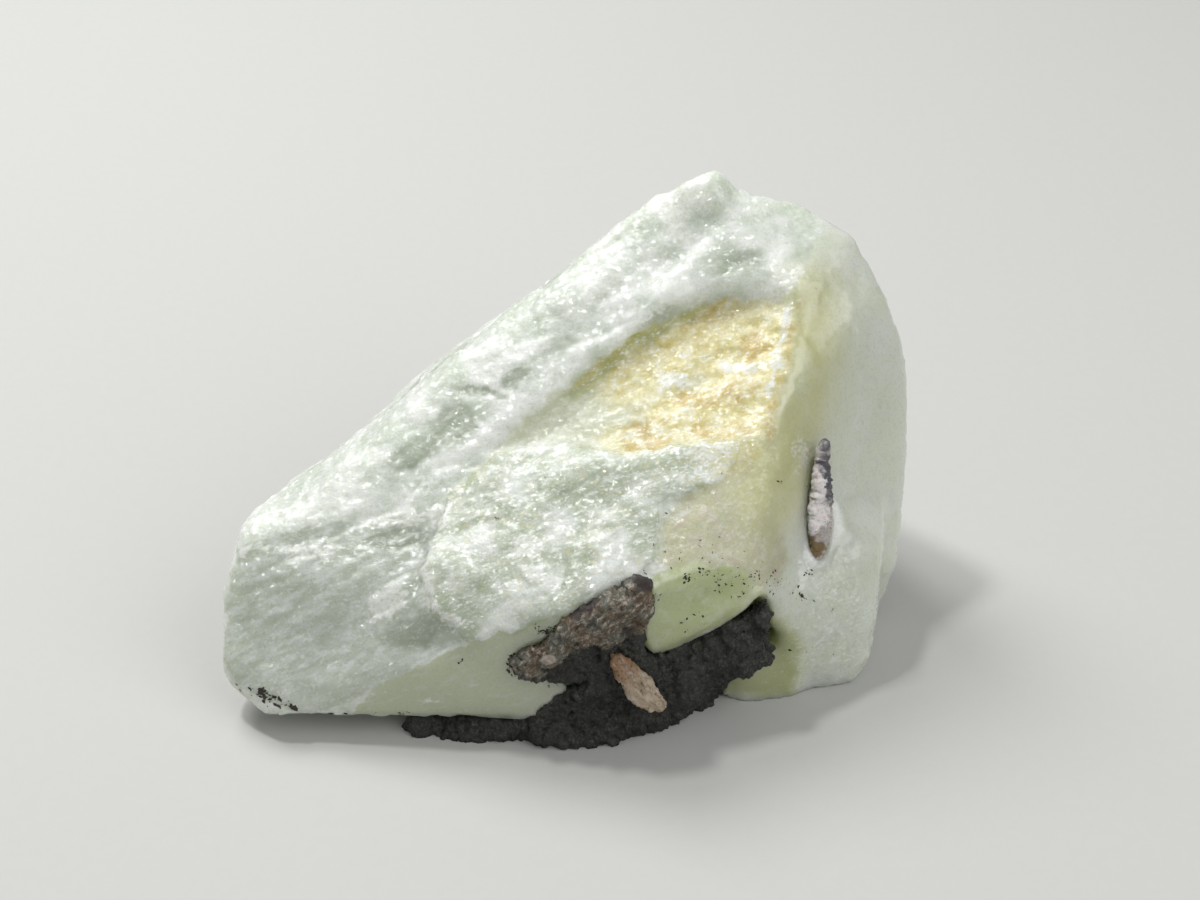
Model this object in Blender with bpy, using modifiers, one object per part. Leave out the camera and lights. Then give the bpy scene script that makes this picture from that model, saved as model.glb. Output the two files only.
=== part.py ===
"""Raw datolite: a broken lump of pale green crystal with dark host rock caught under its front.

Each block is the hull of the corners where its fracture faces meet. The blocks of the crystal are
joined, its hollows are cut out, and the chips of the broken faces are pushed into its surface. The
tables give lengths in millimetres: X runs along the lump to the right, Y away from the front, and Z
up from the surface that the lump rests on.
"""

from math import radians

import bmesh
import bpy
from mathutils import Matrix, Vector, noise

MM = 0.001

# The long body, from the thin left end up to the high right end.
BODY = [
    (-22.4, -11.6, 2.2),
    (-22.7, -11.0, 4.4),
    (-22.1, -7.8, 8.2),
    (-21.5, -4.2, 8.9),
    (-19.3, -14.0, 1.4),
    (-19.9, -13.3, 2.6),
    (-10.0, -13.9, 5.0),
    (-3.0, -14.0, 1.5),
    (0.0, -13.3, 8.6),
    (7.4, -12.2, 8.4),
    (9.3, -11.2, 8.3),
    (9.8, -5.3, 16.2),
    (12.1, 2.1, 21.4),
    (-18.8, -0.5, 8.6),
    (-14.0, 3.0, 11.7),
    (-8.5, 6.0, 15.2),
    (-3.5, 7.5, 17.8),
    (-0.9, 8.0, 19.8),
    (0.8, 8.0, 22.1),
    (3.5, 8.0, 24.5),
    (6.6, 8.2, 25.3),
    (12.4, 8.0, 24.0),
    (15.6, 6.5, 22.7),
    (17.1, 5.0, 20.1),
    (18.6, 4.0, 16.3),
    (19.3, 2.0, 13.5),
    (19.4, 0.0, 8.7),
    (18.8, -2.0, 4.0),
    (17.9, -2.6, 0.6),
    (-20.0, -5.0, 1.4),
    (-13.0, 3.0, 1.0),
    (-2.0, 10.0, 1.2),
    (9.0, 12.4, 1.6),
    (15.6, 8.0, 1.4),
    (10.0, 13.0, 14.0),
    (3.0, 12.5, 15.0),
    (4.0, -9.0, 0.9),
]
# The plate that stands proud in the middle of the front, over a ledge down to the left end.
FRONT_PLATE = [
    (-9.8, -9.7, 10.3),
    (-10.5, -11.1, 8.8),
    (-9.6, -12.6, 7.2),
    (-9.4, -7.6, 11.4),
    (-6.8, -5.4, 13.2),
    (-4.0, -4.6, 14.2),
    (3.2, -4.6, 16.0),
    (8.8, -6.0, 15.5),
    (8.8, -10.8, 10.2),
    (3.8, -12.9, 10.3),
    (-1.0, -13.9, 9.3),
    (-7.0, -13.7, 6.8),
    (0.0, -8.0, 4.0),
    (-5.0, -10.0, 4.0),
]
LEFT_CAP = [
    (-21.6, -4.6, 9.6),
    (-21.8, -7.0, 9.1),
    (-20.4, -7.4, 9.6),
    (-17.4, -6.0, 10.5),
    (-15.5, -3.0, 11.4),
    (-17.0, 0.6, 10.2),
    (-19.4, -1.2, 9.5),
    (-18.0, -4.0, 6.0),
]
# The rounded lobe on the upper edge, left of the high end.
EDGE_LOBE = [
    (-10.6, 1.0, 14.2),
    (-8.6, 4.6, 15.9),
    (-5.4, 5.4, 17.3),
    (-4.0, 3.2, 17.0),
    (-5.6, 0.2, 15.8),
    (-8.6, -0.8, 14.6),
    (-7.0, 4.0, 11.0),
    (-7.0, 0.0, 11.0),
]
TOP_KNOB = [
    (4.6, 7.6, 25.0),
    (6.2, 7.8, 26.3),
    (7.2, 8.2, 26.2),
    (8.4, 8.6, 24.9),
    (7.6, 6.0, 24.6),
    (4.0, 7.6, 24.0),
    (6.5, 10.0, 23.0),
]
FOOT = [
    (12.2, -9.9, -0.6),
    (15.2, -9.5, -0.6),
    (16.6, -8.6, 1.2),
    (16.7, -7.8, 4.0),
    (16.8, -6.0, 7.0),
    (10.6, -10.7, 6.0),
    (9.4, -10.8, 8.6),
    (10.4, -5.0, 14.2),
    (17.6, -2.0, 9.0),
    (16.8, -2.0, -0.6),
    (9.0, -3.0, -0.6),
    (11.2, -10.0, 2.0),
]
# The heel at the back is the third place, with the foot and the rock, where the lump rests.
BACK_HEEL = [
    (1.0, 4.6, -0.6),
    (3.0, 9.6, -0.6),
    (10.0, 10.6, -0.6),
    (13.0, 6.4, -0.6),
    (7.6, 3.2, -0.6),
    (-0.6, 4.0, 1.8),
    (2.0, 11.2, 2.4),
    (11.4, 12.2, 2.6),
    (15.0, 6.0, 2.2),
    (7.4, 1.0, 1.8),
]
# The lip is joined after the front hollow is cut, because it closes the hollow's right end.
LOWER_LIP = [
    (7.5, -10.5, 0.4),
    (8.6, -10.9, -0.6),
    (12.0, -10.6, -0.6),
    (7.4, -9.8, 2.2),
    (9.4, -10.2, 3.6),
    (12.6, -10.2, 4.0),
    (13.0, -6.0, 4.0),
    (12.0, -6.0, -0.6),
    (8.6, -7.0, -0.6),
    (8.8, -7.0, 3.0),
]

# What is broken out of the crystal.
STAINED_SCOOP = [
    (11.8, 1.2, 20.6),
    (9.6, -5.3, 15.9),
    (3.0, -4.9, 15.1),
    (-8.5, -6.0, 12.8),
    (-5.4, -3.8, 13.7),
    (0.2, 0.0, 16.9),
    (6.2, 2.5, 19.4),
    (10.8, 2.4, 20.9),
    (12.4, 0.8, 30.0),
    (10.2, -7.0, 26.0),
    (-9.5, -7.0, 22.0),
    (-1.0, 0.8, 28.0),
    (6.0, 3.4, 30.0),
]
FRONT_HOLLOW = [
    (3.2, -16.0, 4.8),
    (9.9, -14.0, 8.2),
    (-4.0, -16.0, 1.5),
    (3.0, -6.0, 4.0),
    (9.0, -6.5, 6.5),
    (10.0, -8.5, 4.0),
    (8.0, -9.6, 2.6),
    (7.0, -14.0, -2.0),
    (-6.0, -16.0, -2.0),
    (-6.0, -9.0, -2.0),
    (7.0, -6.0, -2.0),
]
FACE_PIT = [
    (12.6, -4.9, 15.0),
    (13.8, -4.3, 15.2),
    (14.2, -6.2, 11.0),
    (13.6, -7.8, 7.8),
    (12.2, -8.2, 7.6),
    (12.0, -6.6, 11.2),
    (12.8, -3.2, 14.0),
    (13.4, -4.0, 9.4),
]

# The host rock: the fill of the hollow, the crust that climbs out of it over the front edge, and
# the tongue under the front of the crystal.
ROCK_FILL = [
    (2.8, -12.6, 4.2),
    (9.4, -11.0, 7.4),
    (-2.6, -13.5, 3.4),
    (3.2, -7.0, 3.6),
    (9.0, -7.0, 6.0),
    (9.4, -9.9, 4.4),
    (7.0, -10.4, 0.6),
    (6.4, -10.6, -0.6),
    (-6.0, -13.8, -0.6),
    (1.0, -14.6, 0.4),
    (-5.0, -9.6, -0.6),
    (6.0, -6.6, -0.6),
    (4.0, -13.6, 1.5),
]
ROCK_CRUST = [
    (3.1, -13.0, 12.0),
    (3.9, -12.9, 11.0),
    (0.6, -14.0, 10.0),
    (-2.6, -14.4, 7.8),
    (-5.4, -14.3, 6.2),
    (-5.5, -14.2, 4.9),
    (-2.0, -14.2, 4.4),
    (1.8, -13.6, 7.0),
    (1.0, -11.6, 6.0),
    (-3.0, -12.4, 5.0),
]
ROCK_NECK = [
    (1.0, -13.9, 7.6),
    (2.5, -13.4, 8.2),
    (2.3, -13.7, 5.6),
    (3.2, -13.5, 4.2),
    (-1.6, -14.2, 3.4),
    (0.4, -14.2, 5.0),
    (2.0, -11.0, 4.0),
]
# The rock laps over the crystal's lower lip on the right, and ends in a point under the front edge.
ROCK_SPUR = [
    (5.6, -12.5, 6.0),
    (9.6, -11.2, 8.5),
    (9.6, -11.2, 6.5),
    (10.6, -11.1, 3.7),
    (8.2, -11.5, 2.8),
    (7.0, -11.7, 3.2),
    (8.6, -9.6, 6.0),
    (8.0, -10.2, 3.6),
    (6.5, -10.0, 4.5),
]
ROCK_TONGUE = [
    (-11.4, -13.4, 0.5),
    (-10.4, -11.0, 0.2),
    (-11.0, -13.6, -0.6),
    (-4.0, -14.8, -0.6),
    (-4.0, -14.2, 1.3),
    (-3.0, -9.0, 1.2),
    (2.0, -14.8, -0.6),
    (2.0, -10.0, 1.0),
    (-2.0, -9.0, -0.6),
]
SPLINTER = [
    (0.4, -14.4, 6.7),
    (1.2, -14.3, 6.9),
    (3.0, -14.8, 4.9),
    (4.0, -14.9, 3.2),
    (3.3, -15.1, 2.4),
    (2.4, -15.2, 3.0),
    (1.1, -15.0, 5.2),
    (0.7, -13.6, 6.5),
    (2.6, -14.0, 4.8),
    (3.5, -14.1, 3.0),
    (1.3, -14.1, 4.8),
]
PIT_CRUST = [
    (12.9, -4.8, 14.6),
    (13.5, -4.5, 14.6),
    (13.8, -6.2, 11.0),
    (13.3, -7.7, 8.2),
    (12.4, -8.0, 8.0),
    (12.4, -6.6, 11.2),
    (13.0, -4.0, 13.8),
    (13.3, -4.8, 9.6),
]

# Between two pieces, and in the copy of a piece that cuts its room out of its neighbour.
GAP = 0.35
ROOM_SKIN = 0.45
ROOM_FACES_KEPT = 0.3

# How fine each piece's surface is: the size of its first even faces, and how many are kept.
SKIN = {"datolite_crystal": 0.42, "host_rock": 0.4, "tan_splinter": 0.22, "pocket_crust": 0.22}
TRIANGLES = {"datolite_crystal": 6500, "host_rock": 1700, "tan_splinter": 160, "pocket_crust": 420}
SMOOTHING = 0.5
EDGE_WEAR_PASSES = 2
SHARP_EDGE = radians(32)

# The relief of the broken crystal. Its chips run the way that the lump rises to the right.
LONG_WAY = Vector((28.0, 12.0, 17.0)).normalized()
LARGE_CHIP, LARGE_CHIP_STRETCH, LARGE_CHIP_HEIGHT = 5.0, 2.0, 0.62
SMALL_CHIP, SMALL_CHIP_STRETCH, SMALL_CHIP_HEIGHT = 2.2, 1.6, 0.24
SMALL_CHIP_PLACE = Vector((40.0, 0.0, 0.0))
SWELL_LENGTH, SWELL_HEIGHT = 7.0, 0.35
CALMED = 0.7
TILT_SCALE = 5.7
TILT_PLACES = [Vector((9.3, 1.5, 7.6)), Vector((-3.1, 8.7, 2.2)), Vector((5.9, -6.4, 4.8))]

# The relief of the grainy rock, and of the two small pieces.
ROCK_LUMP, ROCK_LUMP_HEIGHT = 2.6, 0.5
ROCK_CHIP, ROCK_CHIP_HEIGHT = 1.9, 0.35
GRAIN, GRAIN_HEIGHT = 1.1, 0.16
GRAIN_CHIP, GRAIN_CHIP_HEIGHT = 0.8, 0.1

FLOOR_BLOCK = 60.0


def cleared_scene():
    for obj in list(bpy.data.objects):
        bpy.data.objects.remove(obj)


def hull(name, corners):
    """One block: the convex hull of its corners."""
    mesh = bpy.data.meshes.new(name)
    bm = bmesh.new()
    for corner in corners:
        bm.verts.new(Vector(corner) * MM)
    made = bmesh.ops.convex_hull(bm, input=bm.verts)
    unused = made["geom_interior"] + made["geom_unused"]
    corners_inside = [item for item in unused if isinstance(item, bmesh.types.BMVert)]
    bmesh.ops.delete(bm, geom=list(dict.fromkeys(corners_inside)), context="VERTS")
    bmesh.ops.recalc_face_normals(bm, faces=bm.faces)
    bm.to_mesh(mesh)
    bm.free()
    obj = bpy.data.objects.new(name, mesh)
    bpy.context.scene.collection.objects.link(obj)
    return obj


def bake_modifiers(obj):
    graph = bpy.context.evaluated_depsgraph_get()
    mesh = bpy.data.meshes.new_from_object(obj.evaluated_get(graph))
    obj.modifiers.clear()
    obj.data = mesh


def combine(obj, other, operation):
    """Join the other block to this one, or cut it out, and remove it."""
    boolean = obj.modifiers.new(operation.lower(), "BOOLEAN")
    boolean.operation = operation
    boolean.object = other
    bake_modifiers(obj)
    bpy.data.objects.remove(other)


def joined(name, blocks):
    obj = hull(name, blocks[0])
    for corners in blocks[1:]:
        combine(obj, hull("block", corners), "UNION")
    return obj


def even_skin(obj, face_size):
    """Cover the piece again with faces of one size."""
    remesh = obj.modifiers.new("even skin", "REMESH")
    remesh.mode = "VOXEL"
    remesh.voxel_size = face_size * MM
    bake_modifiers(obj)


def wear_edges(obj):
    wear = obj.modifiers.new("worn edges", "SMOOTH")
    wear.factor = SMOOTHING
    wear.iterations = EDGE_WEAR_PASSES
    bake_modifiers(obj)


def relieve(obj, height):
    """Move each point of the surface out by height(place), in millimetres."""
    moves = [v.normal * height(v.co / MM) * MM for v in obj.data.vertices]
    for vertex, move in zip(obj.data.vertices, moves):
        vertex.co += move
    obj.data.update()


def thin_out(obj, share):
    """Keep this share of the faces, where they matter most."""
    fewer = obj.modifiers.new("fewer faces", "DECIMATE")
    fewer.ratio = share
    fewer.use_collapse_triangulate = True
    bake_modifiers(obj)


def chip(place, size, stretch):
    """A face of flat chips of this size, each tilted its own way: its height, from about -1 to 1."""
    along = place.dot(LONG_WAY)
    scaled = (place - LONG_WAY * along * (1 - 1 / stretch)) / size
    centre = noise.voronoi(scaled)[1][0]
    tilt = Vector([noise.noise(centre * TILT_SCALE + aside) for aside in TILT_PLACES])
    return (scaled - centre).dot(tilt)


def ramp(value, start, end):
    return min(max((value - start) / (end - start), 0.0), 1.0)


def calm(place):
    """How smoothly the crystal broke: 0 on the rough upper faces, 1 on the right and the low front."""
    right = ramp(place.x + 0.25 * place.y, 8.2, 11.2)
    low_front = ramp(place.z, 7.5, 5.5) * ramp(place.x, -14.0, -10.0)
    return max(right, low_front)


def crystal_relief(place):
    large = LARGE_CHIP_HEIGHT * chip(place, LARGE_CHIP, LARGE_CHIP_STRETCH)
    small = SMALL_CHIP_HEIGHT * chip(place + SMALL_CHIP_PLACE, SMALL_CHIP, SMALL_CHIP_STRETCH)
    swell = SWELL_HEIGHT * noise.noise(place / SWELL_LENGTH)
    return (1 - CALMED * calm(place)) * (large + small) + swell


def rock_relief(place):
    lump = ROCK_LUMP_HEIGHT * noise.noise(place / ROCK_LUMP)
    return lump + ROCK_CHIP_HEIGHT * chip(place, ROCK_CHIP, 1.0)


def grain_relief(place):
    grain = GRAIN_HEIGHT * noise.noise(place / GRAIN)
    return grain + GRAIN_CHIP_HEIGHT * chip(place, GRAIN_CHIP, 1.0)


def break_surface(obj, height):
    """Turn the plain blocks into broken mineral: worn edges, relief, and only the faces it needs."""
    even_skin(obj, SKIN[obj.name])
    wear_edges(obj)
    relieve(obj, height)
    even_skin(obj, SKIN[obj.name])
    thin_out(obj, TRIANGLES[obj.name] / (2 * len(obj.data.polygons)))


def room_for(obj):
    """A cutter that is larger than the piece all round, by the gap between neighbours."""
    room = bpy.data.objects.new("room", obj.data.copy())
    bpy.context.scene.collection.objects.link(room)
    relieve(room, lambda place: GAP)
    even_skin(room, ROOM_SKIN)
    thin_out(room, ROOM_FACES_KEPT)
    return room


def stand_flat(obj):
    """Cut the piece off level where it rests, at Z = 0."""
    depth = FLOOR_BLOCK * MM / 2
    bpy.ops.mesh.primitive_cube_add(size=FLOOR_BLOCK * MM, location=(0, 0, -depth))
    combine(obj, bpy.context.object, "DIFFERENCE")


def made_crystal():
    blocks = [BODY, FRONT_PLATE, LEFT_CAP, EDGE_LOBE, TOP_KNOB, FOOT, BACK_HEEL]
    crystal = joined("datolite_crystal", blocks)
    combine(crystal, hull("scoop", STAINED_SCOOP), "DIFFERENCE")
    combine(crystal, hull("hollow", FRONT_HOLLOW), "DIFFERENCE")
    combine(crystal, hull("lip", LOWER_LIP), "UNION")
    combine(crystal, hull("pit", FACE_PIT), "DIFFERENCE")
    break_surface(crystal, crystal_relief)
    return crystal


def made_piece(name, blocks, height):
    piece = joined(name, blocks)
    break_surface(piece, height)
    return piece


def centre_over_origin(parts):
    """Put the origin under the middle of the whole lump."""
    places = [vertex.co for part in parts for vertex in part.data.vertices]
    middle = [(min(p[axis] for p in places) + max(p[axis] for p in places)) / 2 for axis in (0, 1)]
    for part in parts:
        part.data.transform(Matrix.Translation((-middle[0], -middle[1], 0)))


def finish(obj, colour, roughness):
    material = bpy.data.materials.new(obj.name)
    material.use_nodes = True
    shader = material.node_tree.nodes["Principled BSDF"]
    shader.inputs["Base Color"].default_value = (*colour, 1)
    shader.inputs["Roughness"].default_value = roughness
    shader.inputs["Metallic"].default_value = 0
    obj.data.materials.clear()
    obj.data.materials.append(material)
    obj.data.shade_smooth()
    obj.data.set_sharp_from_angle(angle=SHARP_EDGE)


def gather(parts):
    collection = bpy.data.collections.new("raw_datolite")
    bpy.context.scene.collection.children.link(collection)
    for part in parts:
        bpy.context.scene.collection.objects.unlink(part)
        collection.objects.link(part)


def main():
    cleared_scene()
    crystal = made_crystal()
    rock_blocks = [ROCK_FILL, ROCK_CRUST, ROCK_NECK, ROCK_SPUR, ROCK_TONGUE]
    rock = made_piece("host_rock", rock_blocks, rock_relief)
    splinter = made_piece("tan_splinter", [SPLINTER], grain_relief)
    pit_crust = made_piece("pocket_crust", [PIT_CRUST], grain_relief)

    combine(rock, room_for(splinter), "DIFFERENCE")
    for piece in (rock, splinter, pit_crust):
        combine(crystal, room_for(piece), "DIFFERENCE")
    stand_flat(crystal)
    stand_flat(rock)

    parts = [crystal, rock, splinter, pit_crust]
    centre_over_origin(parts)
    finish(crystal, (0.50, 0.58, 0.44), 0.45)
    finish(rock, (0.03, 0.02, 0.016), 0.85)
    finish(splinter, (0.26, 0.15, 0.08), 0.7)
    finish(pit_crust, (0.42, 0.36, 0.34), 0.7)
    gather(parts)


if __name__ == "__main__":
    main()
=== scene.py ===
"""The looks of the raw datolite: its broken surface, its stains, its host rock and the stage."""

import math
import random

import bmesh
import bpy
import numpy as np
from bpy.props import FloatProperty, FloatVectorProperty, IntProperty, PointerProperty
from mathutils import Matrix, Vector, noise
from mathutils.bvhtree import BVHTree


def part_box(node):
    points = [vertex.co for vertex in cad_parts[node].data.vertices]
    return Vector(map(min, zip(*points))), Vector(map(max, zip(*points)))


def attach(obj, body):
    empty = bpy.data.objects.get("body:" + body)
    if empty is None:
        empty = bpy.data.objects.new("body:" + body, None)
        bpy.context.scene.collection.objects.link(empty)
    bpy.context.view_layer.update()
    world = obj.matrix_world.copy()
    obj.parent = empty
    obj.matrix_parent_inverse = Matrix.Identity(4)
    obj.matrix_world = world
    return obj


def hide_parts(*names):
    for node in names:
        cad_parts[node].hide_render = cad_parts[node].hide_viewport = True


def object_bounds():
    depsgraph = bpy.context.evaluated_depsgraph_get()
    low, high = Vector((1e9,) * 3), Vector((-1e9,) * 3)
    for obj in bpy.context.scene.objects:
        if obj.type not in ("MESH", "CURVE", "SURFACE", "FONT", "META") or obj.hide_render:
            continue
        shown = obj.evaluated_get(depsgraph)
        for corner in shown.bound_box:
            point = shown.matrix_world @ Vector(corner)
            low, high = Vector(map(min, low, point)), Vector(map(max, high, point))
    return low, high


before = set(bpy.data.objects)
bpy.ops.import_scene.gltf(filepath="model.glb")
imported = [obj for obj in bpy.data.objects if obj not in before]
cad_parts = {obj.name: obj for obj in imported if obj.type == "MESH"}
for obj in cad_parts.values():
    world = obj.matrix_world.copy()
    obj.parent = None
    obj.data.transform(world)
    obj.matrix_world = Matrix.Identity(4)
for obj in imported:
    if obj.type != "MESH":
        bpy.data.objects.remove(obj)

bl_info = {
    "name": "Raw datolite",
    "version": (1, 0, 0),
    "blender": (4, 5, 0),
    "location": "3D View > Sidebar > Datolite",
    "description": "Dresses the solids of a raw datolite lump and sets its stage",
    "category": "Object",
}

MM = 0.001
CAD_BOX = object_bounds()
CRYSTAL, ROCK, SPLINTER, PIT_CRUST = "datolite_crystal", "host_rock", "tan_splinter", "pocket_crust"

# The photograph's camera, which gives the place on the lump of anything named by its pixel.
PHOTO_WIDTH, PHOTO_HEIGHT = 1200, 900
PHOTO_FOCAL = 2025.0
CAMERA_RISE = math.radians(35)
CAMERA_DISTANCE = 0.125
AIM = Vector((0.00164, 0.00114, 0.011))
SENSOR_WIDTH = 36.0
PIXELS_PER_MM = PHOTO_FOCAL * MM / CAMERA_DISTANCE
FORWARD = Vector((0, math.cos(CAMERA_RISE), -math.sin(CAMERA_RISE)))
SIDE = Vector((1, 0, 0))
UPWARD = Vector((0, math.sin(CAMERA_RISE), math.cos(CAMERA_RISE)))
EYE = AIM - FORWARD * CAMERA_DISTANCE

# The stage: each light with its place in metres and the width of its disk, and the floor's width.
LIGHTS = (
    ("key", (-0.13, 0.16, 0.26), 0.16), ("spark", (-0.1, 0.06, 0.3), 0.035),
    ("fill", (0.2, -0.13, 0.22), 0.3),
)
FLOOR_WIDTH = 8

# Datolite bends light this much, and its coat of flat break faces does the same.
DATOLITE_IOR = 1.64
HOST_ROCK_IOR = 1.6

# The lump rises this way, and so do the streaks of its broken faces.
RISE_WAY = np.array(Vector((28.0, 12.0, 17.0)).normalized())
ACROSS_WAY = np.array(Vector((1.0, 0.25, 0.2)).normalized())
STREAK_WAY = np.array(Vector((1.0, 0.3, 0.35)).normalized())

# Areas of the crystal's front, outlined in pixels of the photograph.
SCOOP_AREA = (
    (702, 304), (802, 288), (796, 340), (780, 400), (768, 452), (735, 490), (655, 470), (600, 452),
    (530, 452), (452, 494), (480, 468), (520, 428), (570, 388), (615, 350), (662, 322),
)
TAWNY_AREA = (
    (775, 400), (770, 500), (790, 560), (766, 598), (700, 600), (655, 565), (662, 520), (690, 490),
    (660, 470), (640, 445), (700, 440),
)
OLIVE_AREA = (
    (452, 494), (508, 447), (590, 442), (650, 446), (640, 395), (606, 362), (560, 385), (515, 425),
)
PLATE_AREA = (
    (450, 490), (500, 452), (570, 442), (650, 446), (745, 440), (722, 480), (660, 505), (655, 560),
    (610, 600), (525, 625), (470, 642), (432, 605), (422, 575), (436, 540),
)
GLASS_AREA = (
    (236, 548), (330, 522), (385, 520), (440, 506), (435, 540), (422, 575), (432, 605), (465, 637),
    (415, 668), (370, 690), (345, 706), (300, 712), (240, 690), (222, 660), (228, 600),
)
LOW_FRONT_AREA = (
    (345, 722), (370, 690), (420, 665), (470, 642), (520, 625), (600, 600), (640, 640), (560, 730),
)
GREEN_FACE_AREA = (
    (655, 575), (690, 560), (745, 572), (768, 598), (700, 640), (655, 670), (630, 650), (636, 610),
)
LIP_AREA = ((765, 600), (800, 640), (800, 700), (715, 700), (722, 655), (752, 620))
RIGHT_AREA = (
    (800, 288), (778, 430), (765, 520), (765, 600), (800, 650), (800, 720), (930, 720), (930, 200),
    (835, 215), (815, 245),
)
FOOT_AREA = ((795, 560), (850, 545), (885, 600), (880, 700), (800, 700), (790, 620))

# Lines on the crystal, in pixels: the foot of the step over the stain, the crease on its right, and
# the middle of the yellow green tint beside that.
# Olive along the foot of the step is partly painted shade of the step.
STEP_LINE = ((705, 307), (666, 325), (619, 355), (574, 395), (522, 434), (482, 471), (452, 494))
CREASE_LINE = ((800, 300), (791, 345), (779, 400), (770, 445))
BLUSH_LINE = ((812, 300), (810, 350), (802, 400), (788, 450), (772, 500))
# White, bruised rims: round the plate's left end, along the ledge beside it, on the left end of the
# lump and down the right side of the stain.
RIM_LINES = (
    ((452, 508), (438, 536), (426, 566), (424, 589), (438, 606), (462, 622)),
    ((365, 522), (398, 521), (436, 518)),
    ((240, 548), (270, 547), (313, 552), (330, 530)),
    ((787, 305), (779, 345), (769, 395)),
)

# The areas whose masks are plain, each with the softness of its edge in pixels.
AREAS = {
    "tawny": (TAWNY_AREA, 26), "olive": (OLIVE_AREA, 16), "silver": (PLATE_AREA, 3),
    "glass": (GLASS_AREA, 4), "low": (LOW_FRONT_AREA, 7), "green": (GREEN_FACE_AREA, 10),
    "lip": (LIP_AREA, 22), "waxy": (RIGHT_AREA, 16), "foot": (FOOT_AREA, 34),
}

# Patches: the middle, the half lengths and the turn of each, in pixels and degrees, and how strong.
WHITE_PATCHES = (
    (285, 515, 50, 18, 18, 0.5), (362, 450, 34, 14, 40, 0.6), (633, 326, 44, 8, 32, 1.0),
    (782, 285, 26, 12, 38, 1.0), (690, 205, 44, 14, 20, 0.8), (700, 240, 30, 12, 10, 0.7),
    (500, 415, 22, 12, 40, 1.0), (430, 488, 30, 12, 25, 0.7), (420, 516, 24, 4, 5, 1.0),
    (528, 548, 20, 13, 15, 1.0), (535, 575, 8, 13, 70, 1.0), (520, 600, 16, 9, 0, 0.8),
    (675, 378, 18, 10, 0, 1.0), (742, 366, 22, 7, 5, 1.0), (388, 603, 27, 15, 38, 1.0),
    (418, 596, 26, 8, 25, 0.7), (452, 618, 14, 9, -45, 1.0), (430, 590, 7, 20, 0, 0.9),
    (855, 425, 10, 10, 0, 0.5), (530, 452, 34, 6, 20, 0.9), (700, 468, 34, 12, 10, 0.6),
    (620, 262, 30, 16, 40, 0.6), (655, 570, 12, 12, 60, 0.7), (345, 704, 50, 9, 20, 0.5),
    (430, 700, 18, 3, 3, 0.8), (560, 300, 26, 12, 30, 0.6), (245, 551, 8, 4, 30, 1.0),
    (316, 553, 8, 3, -40, 1.0), (690, 420, 22, 6, 5, 0.6), (598, 520, 12, 6, 20, 0.5),
    (706, 452, 34, 13, 8, 0.9), (692, 480, 26, 12, 0, 0.8), (640, 455, 24, 7, 12, 0.8),
    (640, 500, 14, 8, 20, 0.5), (330, 590, 10, 22, -20, 0.5), (300, 560, 8, 20, -10, 0.35),
    (822, 520, 22, 28, 0, 0.9), (803, 456, 16, 22, 0, 0.7), (829, 500, 8, 20, 0, 0.8),
    (857, 338, 5, 18, 0, 0.5), (851, 308, 5, 16, 0, 0.4), (812, 560, 16, 14, 0, 0.6),
)
# Grey green patches where the crystal is clear; the two thin ones by the rounded lobe, at (514, 380) and
# (480, 393), are painted shade along its edge.
CLEAR_AND_SHADE_PATCHES = (
    (455, 425, 24, 20, 40, 1.0), (416, 453, 34, 12, 25, 1.0), (514, 380, 16, 10, 35, 0.9),
    (480, 393, 30, 4, -5, 0.9), (738, 262, 32, 13, 15, 0.8), (655, 320, 30, 8, 28, 0.6),
    (620, 515, 32, 22, 50, 0.8), (500, 490, 34, 9, 38, 0.7), (470, 590, 24, 12, 30, 0.3),
    (560, 345, 34, 12, 35, 0.5), (610, 290, 24, 8, 35, 0.5), (400, 537, 36, 12, 5, 0.9),
    (330, 540, 14, 10, 0, 0.5), (415, 632, 36, 16, 18, 0.8), (250, 600, 10, 22, 0, 0.4),
)
STAIN_PATCHES = (
    (735, 345, 75, 55, -20, 1.0), (655, 365, 64, 34, 25, 1.0), (585, 368, 38, 18, 32, 0.9),
    (710, 408, 78, 34, 5, 1.0), (640, 436, 52, 22, 8, 0.75), (730, 455, 42, 24, 0, 0.6),
    (712, 322, 60, 26, 10, 1.0), (640, 348, 50, 20, 32, 1.0),
)
ORANGE_PATCHES = (
    (708, 396, 36, 10, 6, 1.0), (740, 388, 20, 14, 20, 1.0), (645, 434, 26, 18, 12, 0.9),
    (752, 346, 18, 12, 20, 1.0), (710, 430, 24, 8, 5, 0.8), (725, 318, 22, 9, 10, 0.6),
    (712, 318, 26, 10, 10, 0.5), (735, 430, 26, 9, 10, 0.7),
    (772, 418, 9, 26, 0, 0.8), (790, 330, 8, 22, 0, 0.6), (690, 345, 30, 10, 15, 0.35),
    (640, 372, 26, 8, 20, 0.3), (700, 540, 30, 22, 0, 0.22),
)
BEIGE_PATCHES = ((812, 262, 18, 22, -20, 0.35), (832, 280, 7, 28, 0, 0.3), (690, 555, 34, 12, 10, 0.3))

# Black and brown specks: the pixel, the length in millimetres and how long and thin each one is.
SPECKS = (
    (810, 572, 0.5, 1.6), (803, 598, 0.5, 1.4), (686, 580, 0.5, 1.3), (701, 569, 0.34, 1.6),
    (779, 481, 0.34, 1.8), (750, 576, 0.3, 2.0), (758, 571, 0.26, 2.0), (740, 598, 0.26, 1.6),
    (832, 610, 0.2, 1.0), (808, 486, 0.3, 2.0), (829, 528, 0.3, 2.0), (460, 661, 0.36, 2.0),
    (549, 686, 0.22, 1.4), (557, 684, 0.26, 1.8), (653, 545, 0.2, 1.2), (664, 552, 0.2, 1.4),
    (645, 572, 0.26, 1.6), (689, 508, 0.14, 1.2), (546, 477, 0.14, 1.4), (497, 518, 0.26, 3.0),
    (720, 537, 0.18, 1.4), (816, 288, 0.16, 1.0), (722, 474, 0.12, 1.2), (375, 713, 0.18, 1.2),
)
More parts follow.
